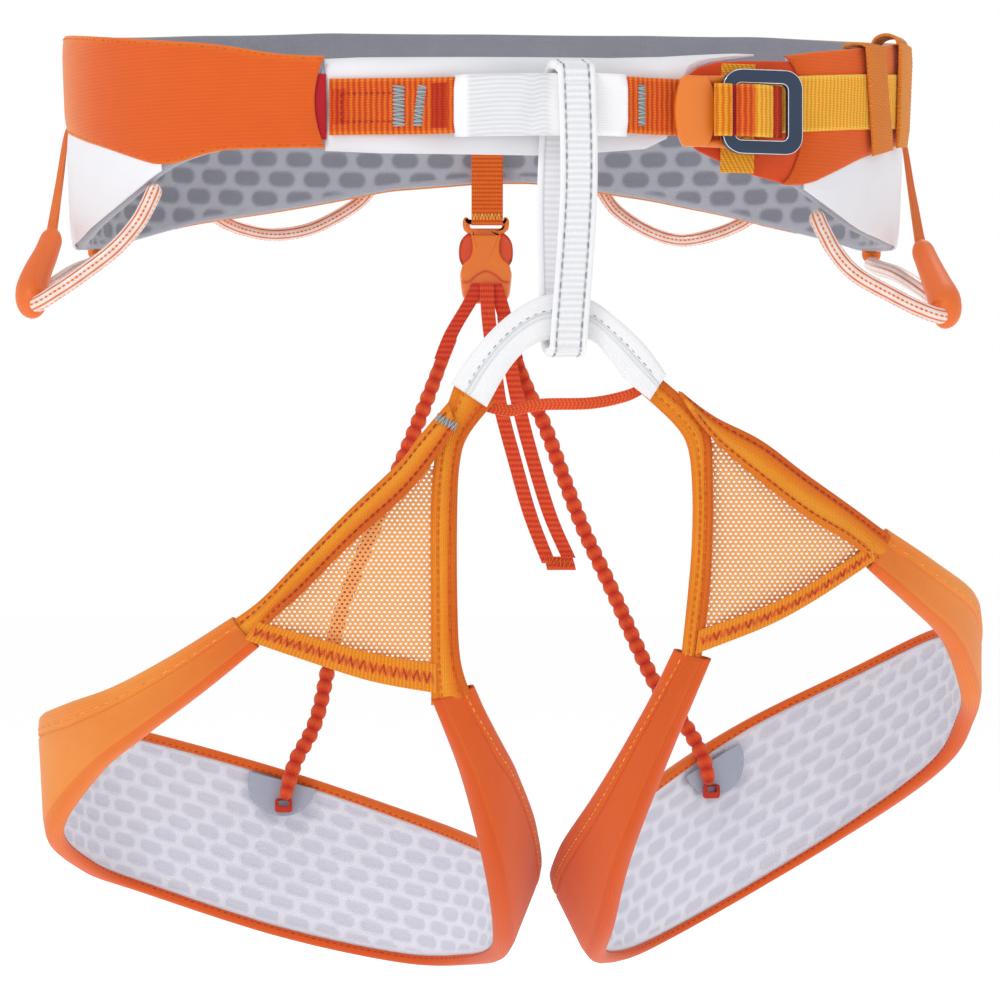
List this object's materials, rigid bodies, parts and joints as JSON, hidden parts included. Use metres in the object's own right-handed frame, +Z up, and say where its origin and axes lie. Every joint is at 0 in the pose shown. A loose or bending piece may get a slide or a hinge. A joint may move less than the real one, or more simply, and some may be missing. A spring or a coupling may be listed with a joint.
{
  "type": "climbing harness",
  "caption": "Lightweight climbing harness: padded waist belt with front tie-in webbing and buckle, belay loop, gear loops, and two padded leg loops on elastic rear risers.",
  "frame": {"origin": "middle of the waist opening, at the middle height of the front tie-in webbing's tongue", "axes": "+Z up, the front of the harness faces -Y, and +X is to the left of a wearer"},
  "size_m": [0.3407, 0.2293, 0.3537],
  "materials": {
    "belt_lining": "grey spacer fabric with darker oval cells",
    "belt_foam": "closed-cell foam, hidden",
    "load_strand": "flat high-strength strands, hidden",
    "shell_orange": "close-woven stretch fabric",
    "flap_red_orange": "close-woven fabric",
    "wing_white": "smooth white fabric",
    "webbing_orange": "ribbed webbing",
    "sleeve_white": "ribbed white protective sleeve",
    "belay_webbing": "dense woven loop",
    "bartack_thread": "grey bar stitching",
    "buckle_plate_orange": "satin",
    "buckle_frame_navy": "anodised satin",
    "keeper_elastic": "elastic webbing",
    "strap_red_orange": "narrow webbing",
    "riser_elastic": "gathered elastic",
    "buckle_plastic_orange": "moulded satin",
    "gear_loop_tube": "clear tube over braided cord",
    "gear_loop_tip": "soft moulded",
    "gear_loop_strap": "narrow tape",
    "leg_arm_orange": "sewn webbing",
    "mesh_fabric": "open mesh",
    "leg_elastic": "elastic band, zigzag stitched",
    "leg_lining": "pale spacer fabric with oval cells",
    "leg_foam": "closed-cell foam, hidden",
    "patch_grey": "bonded patch",
    "riser_hook": "moulded"
  },
  "bodies": {
    "waist_belt": {"belt_inner_lining": "belt_lining", "belt_foam_core": "belt_foam", "belt_load_strands": "load_strand", "left_outer_shell": "shell_orange", "right_outer_shell": "shell_orange", "rear_outer_panel": "shell_orange", "left_wing_panel": "wing_white", "right_wing_panel": "wing_white", "right_front_flap": "flap_red_orange", "front_tongue": "wing_white", "tie_in_webbing": "webbing_orange", "upper_tie_in_sleeve": "sleeve_white", "webbing_bartacks": "bartack_thread", "waist_buckle_plate": "buckle_plate_orange", "adjust_strap": "webbing_orange", "strap_guide_loop": "webbing_orange", "strap_keeper_front": "keeper_elastic", "strap_keeper_rear": "keeper_elastic", "lower_tie_in_sleeve": "sleeve_white", "leg_link_strap": "strap_red_orange", "rear_strap": "strap_red_orange", "rear_buckle_plug": "buckle_plastic_orange", "rear_buckle_socket": "buckle_plastic_orange", "riser_yoke_webbing": "strap_red_orange", "left_riser": "riser_elastic", "right_riser": "riser_elastic", "riser_tail_loop": "strap_red_orange", "front_left_loop_strap": "gear_loop_strap", "front_right_loop_strap": "gear_loop_strap"},
    "waist_buckle_frame": {"waist_buckle_frame": "buckle_frame_navy"},
    "belay_loop": {"belay_loop": "belay_webbing"},
    "rear_prong_left": {"rear_buckle_prong_left": "buckle_plastic_orange"},
    "rear_prong_right": {"rear_buckle_prong_right": "buckle_plastic_orange"},
    "front_left_gear_loop": {"front_left_gear_loop": "gear_loop_tube", "front_left_loop_tip": "gear_loop_tip"},
    "front_right_gear_loop": {"front_right_gear_loop": "gear_loop_tube", "front_right_loop_tip": "gear_loop_tip"},
    "rear_left_gear_loop": {"rear_left_gear_loop": "gear_loop_tube"},
    "rear_right_gear_loop": {"rear_right_gear_loop": "gear_loop_tube"},
    "left_leg_loop": {"left_leg_outer_arm": "leg_arm_orange", "left_leg_inner_arm": "leg_arm_orange", "left_leg_mesh_panel": "mesh_fabric", "left_leg_elastic_band": "leg_elastic", "left_leg_pad_lining": "leg_lining", "left_leg_pad_core": "leg_foam", "left_leg_load_strands": "load_strand", "left_leg_pad_shell": "shell_orange", "left_leg_riser_patch": "patch_grey", "left_leg_riser_hook": "riser_hook", "left_leg_bartack": "bartack_thread"},
    "right_leg_loop": {"right_leg_outer_arm": "leg_arm_orange", "right_leg_inner_arm": "leg_arm_orange", "right_leg_mesh_panel": "mesh_fabric", "right_leg_elastic_band": "leg_elastic", "right_leg_pad_lining": "leg_lining", "right_leg_pad_core": "leg_foam", "right_leg_load_strands": "load_strand", "right_leg_pad_shell": "shell_orange", "right_leg_riser_patch": "patch_grey", "right_leg_riser_hook": "riser_hook"}
  },
  "joints": [
    {"name": "waist_frame_tilt", "type": "hinge", "parent": "waist_belt", "child": "waist_buckle_frame", "pos_m": [0.0841, -0.1015, 0], "axis": [0, 0, -1], "range_deg": [0, 25]},
    {"name": "belay_loop_twist", "type": "hinge", "parent": "waist_belt", "child": "belay_loop", "pos_m": [0.028, -0.111, -0.033], "axis": [0, 0, 1], "range_deg": [-10, 10]},
    {"name": "left_leg_swing", "type": "hinge", "parent": "waist_belt", "child": "left_leg_loop", "pos_m": [-0.005, -0.108, -0.0955], "axis": [1, 0, 0], "range_deg": [-15, 18], "deforming": ["left_riser"]},
    {"name": "right_leg_swing", "type": "hinge", "parent": "waist_belt", "child": "right_leg_loop", "pos_m": [0.0585, -0.108, -0.0925], "axis": [1, 0, 0], "range_deg": [-15, 18], "deforming": ["right_riser"]},
    {"name": "front_left_loop_swing", "type": "hinge", "parent": "waist_belt", "child": "front_left_gear_loop", "pos_m": [-0.112, -0.074, -0.022], "axis": [-0.2716, 0.9463, -0.1752], "range_deg": [0, 15], "deforming": ["front_left_loop_strap"]},
    {"name": "front_right_loop_swing", "type": "hinge", "parent": "waist_belt", "child": "front_right_gear_loop", "pos_m": [0.113, -0.073, -0.031], "axis": [-0.2601, -0.9596, 0.1076], "range_deg": [0, 15], "deforming": ["front_right_loop_strap"]},
    {"name": "rear_left_loop_swing", "type": "hinge", "parent": "waist_belt", "child": "rear_left_gear_loop", "pos_m": [-0.108, 0.088, -0.017], "axis": [0.9475, 0.2915, 0.1312], "range_deg": [0, 60]},
    {"name": "rear_right_loop_swing", "type": "hinge", "parent": "waist_belt", "child": "rear_right_gear_loop", "pos_m": [0.043, 0.108, -0.008], "axis": [0.9526, -0.2722, -0.1361], "range_deg": [0, 60]},
    {"name": "left_prong_squeeze", "type": "hinge", "parent": "waist_belt", "child": "rear_prong_left", "pos_m": [-0.0061, 0.098, -0.0287], "axis": [0, -1, 0], "range_deg": [0, 7], "stiffness_Nm_per_rad": 0.05},
    {"name": "right_prong_squeeze", "type": "hinge", "parent": "waist_belt", "child": "rear_prong_right", "pos_m": [0.0061, 0.098, -0.0287], "axis": [0, 1, 0], "range_deg": [0, 7], "stiffness_Nm_per_rad": 0.05}
  ],
  "couplings": [
    {"joint": "right_prong_squeeze", "follows": "left_prong_squeeze", "ratio": 1}
  ]
}
